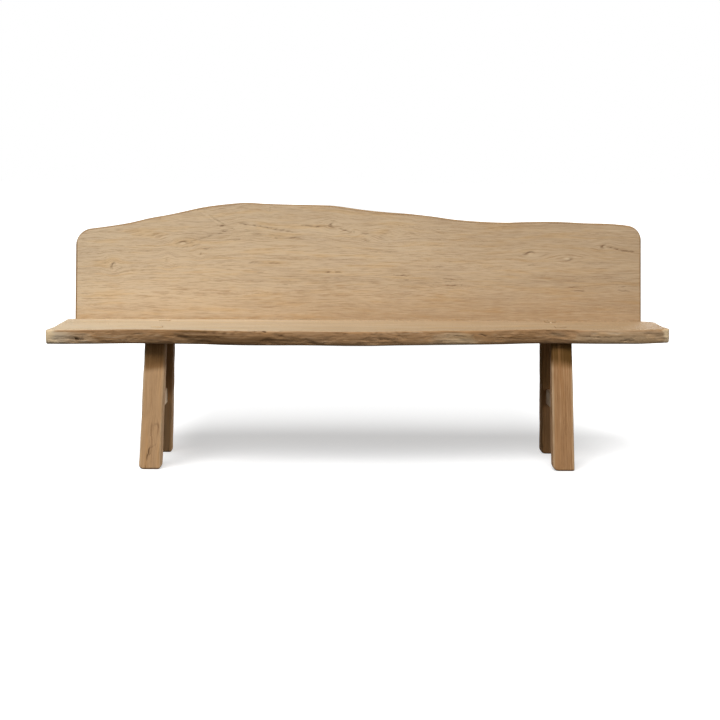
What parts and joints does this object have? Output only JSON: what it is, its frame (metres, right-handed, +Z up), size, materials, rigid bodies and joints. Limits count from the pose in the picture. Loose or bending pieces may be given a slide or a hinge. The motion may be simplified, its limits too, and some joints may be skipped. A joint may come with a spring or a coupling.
{
  "type": "entry bench",
  "caption": "Long live-edge slab bench on splayed square legs with end stretchers and a leaning wavy-topped slab back, in worn pale wood.",
  "frame": {"origin": "on the floor, at the middle of the bench's length and depth", "axes": "+X along the seat towards the sitter's left as seen from the front, which is the viewer's right; +Y from the front to the back; +Z up"},
  "size_m": [2.014, 0.5218, 0.8468],
  "materials": {
    "seat_wood": "dry, sanded, with a dark worn live edge",
    "back_wood": "dry, sanded, unlacquered",
    "leg_wood": "dry, worn, with open checks",
    "stretcher_wood": "dry, worn",
    "wedge_wood": "end grain, cut flush",
    "dowel_wood": "turned, plain",
    "bracket_steel": "matt black paint",
    "screw_steel": "zinc plated"
  },
  "bodies": {
    "root": {"seat_slab": "seat_wood", "back_board": "back_wood", "leg_front_left": "leg_wood", "leg_front_right": "leg_wood", "leg_rear_left": "leg_wood", "leg_rear_right": "leg_wood", "stretcher_left": "stretcher_wood", "stretcher_right": "stretcher_wood", "leg_wedges": "wedge_wood", "stretcher_pegs": "wedge_wood", "bracket_left": "bracket_steel", "bracket_centre": "bracket_steel", "bracket_right": "bracket_steel", "seat_screws": "screw_steel", "back_screws": "screw_steel", "back_dowels": "dowel_wood"}
  },
  "joints": []
}
